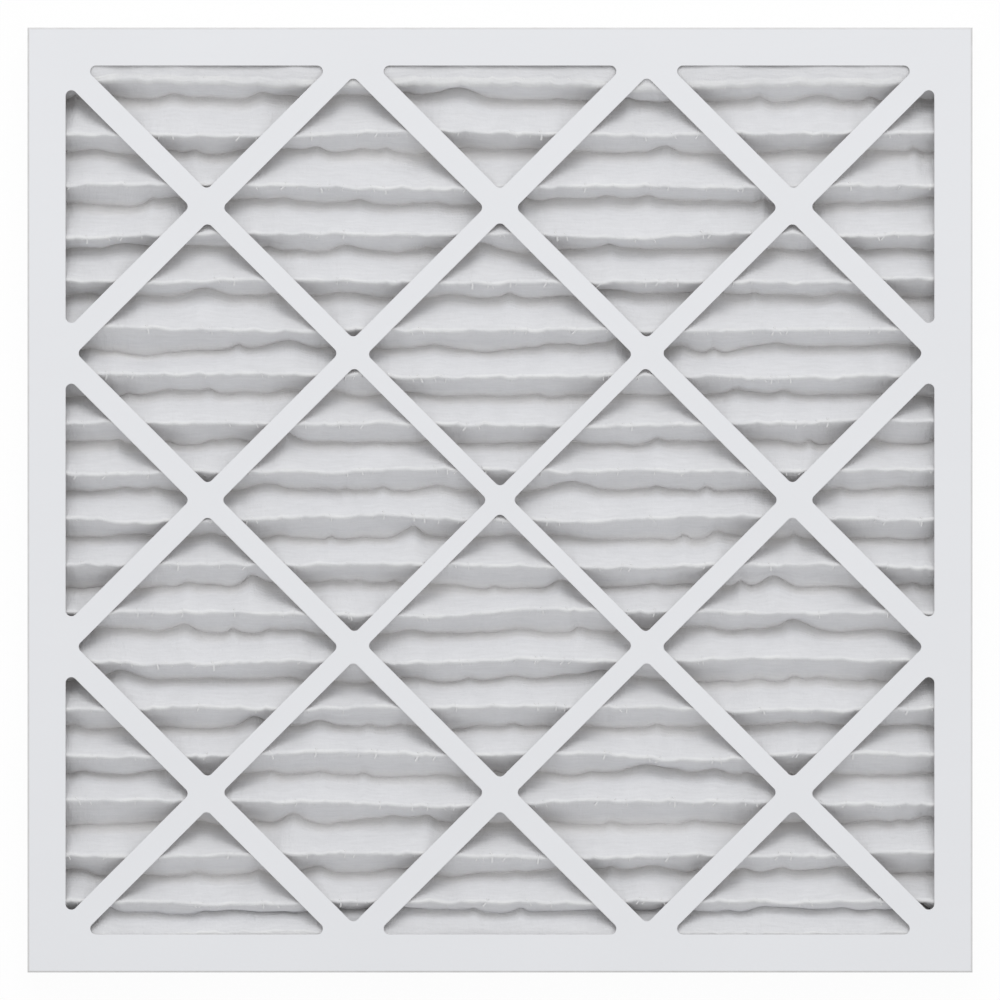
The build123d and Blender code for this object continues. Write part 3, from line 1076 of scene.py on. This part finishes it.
FLOOR_REACH = 6.0  # metres from the middle of the floor to its edges
FLOOR_SEEN_WHITE = 0.93  # how much of the floor is plain white where it is seen directly
LAMP_SIZE = 0.75, 0.45  # of the key light, in key distances
SENSOR = 36.0  # millimetres


def seen_directly(tree):
    """1 for the camera, reflections and light passing through, 0 for the light that falls on the object."""
    path = node(tree, "ShaderNodeLightPath").outputs
    seen = maths(tree, "ADD", path["Is Camera Ray"], path["Is Glossy Ray"])
    return maths(tree, "ADD", seen, path["Is Transmission Ray"], clamp=True)


def build_floor(settings):
    reach = FLOOR_REACH
    corners = [(-reach, -reach, 0), (reach, -reach, 0), (reach, reach, 0), (-reach, reach, 0)]
    floor = new_piece("floor", corners, [(0, 1, 2, 3)])
    material, tree, shader = new_material("studio_floor", Roughness=0.9)
    shader.inputs["Base Color"].default_value = opaque(settings.floor)
    white = output_of(tree, "ShaderNodeEmission", {"Color": (1, 1, 1, 1), "Strength": 1.0})
    surface = output_of(tree, "ShaderNodeMixShader", {
        0: times(tree, seen_directly(tree), FLOOR_SEEN_WHITE),
        1: shader.outputs[0],
        2: white,
    })
    wire(tree, tree.nodes["Material Output"], {"Surface": surface})
    give_material(floor, material)


def build_world(scene, settings):
    world = bpy.data.worlds.new("studio")
    world.use_nodes = True
    tree = world.node_tree
    light = maths(tree, "MULTIPLY_ADD", seen_directly(tree), 1.0 - settings.fill, settings.fill)
    wire(tree, tree.nodes["Background"], {"Color": (1, 1, 1, 1), "Strength": light})
    scene.world = world


def build_key(settings):
    lamp = bpy.data.lights.new("key", "AREA")
    lamp.shape = "RECTANGLE"
    lamp.size, lamp.size_y = (side * settings.key_distance for side in LAMP_SIZE)
    lamp.energy = settings.key
    key = add_object("key", lamp)
    rise = settings.key_elevation
    height = panel_top + settings.key_distance * math.sin(rise)
    key.location = (0, settings.key_distance * math.cos(rise), height)
    key.rotation_euler = (rise - math.pi / 2, 0, 0)


def build_camera(scene, settings):
    data = bpy.data.cameras.new("camera")
    data.sensor_width = SENSOR
    data.lens = SENSOR * settings.camera_height / settings.view_width
    data.clip_end = 100.0
    camera = add_object("camera", data)
    camera.location = (0, 0, panel_top + settings.camera_height)
    scene.camera = camera


class FILTER_OT_stage(bpy.types.Operator):
    """Set up the floor, the lights and the camera"""

    bl_idname = "filter.stage"
    bl_label = "Stage"

    def execute(self, context):
        scene, settings = context.scene, context.scene.filter_stage
        build_floor(settings)
        build_world(scene, settings)
        build_key(settings)
        build_camera(scene, settings)
        scene.view_settings.view_transform = "Standard"
        return {"FINISHED"}


STEPS = (
    ("filter_board", FilterBoardSettings, FILTER_OT_board),
    ("filter_media", FilterMediaSettings, FILTER_OT_media),
    ("filter_tufts", FilterTuftSettings, FILTER_OT_tufts),
    ("filter_grid", FilterGridSettings, FILTER_OT_grid),
    ("filter_glue", FilterGlueSettings, FILTER_OT_glue),
    ("filter_stage", FilterStageSettings, FILTER_OT_stage),
)


class FILTER_PT_panel(bpy.types.Panel):
    bl_idname = "FILTER_PT_panel"
    bl_label = "Pleated filter"
    bl_space_type = "VIEW_3D"
    bl_region_type = "UI"
    bl_category = "Filter"

    def draw(self, context):
        for settings_name, group, operator in STEPS:
            box = self.layout.box()
            box.operator(operator.bl_idname)
            for name in group.__annotations__:
                box.prop(getattr(context.scene, settings_name), name)


def register():
    for settings_name, group, operator in STEPS:
        bpy.utils.register_class(group)
        setattr(bpy.types.Scene, settings_name, PointerProperty(type=group))
        bpy.utils.register_class(operator)
    bpy.utils.register_class(FILTER_PT_panel)


def unregister():
    bpy.utils.unregister_class(FILTER_PT_panel)
    for settings_name, group, operator in reversed(STEPS):
        bpy.utils.unregister_class(operator)
        delattr(bpy.types.Scene, settings_name)
        bpy.utils.unregister_class(group)


def main():
    register()
    bpy.ops.filter.board()
    bpy.ops.filter.media()
    bpy.ops.filter.tufts()
    bpy.ops.filter.grid()
    bpy.ops.filter.glue()
    bpy.ops.filter.stage()


if __name__ == "__main__":
    main()
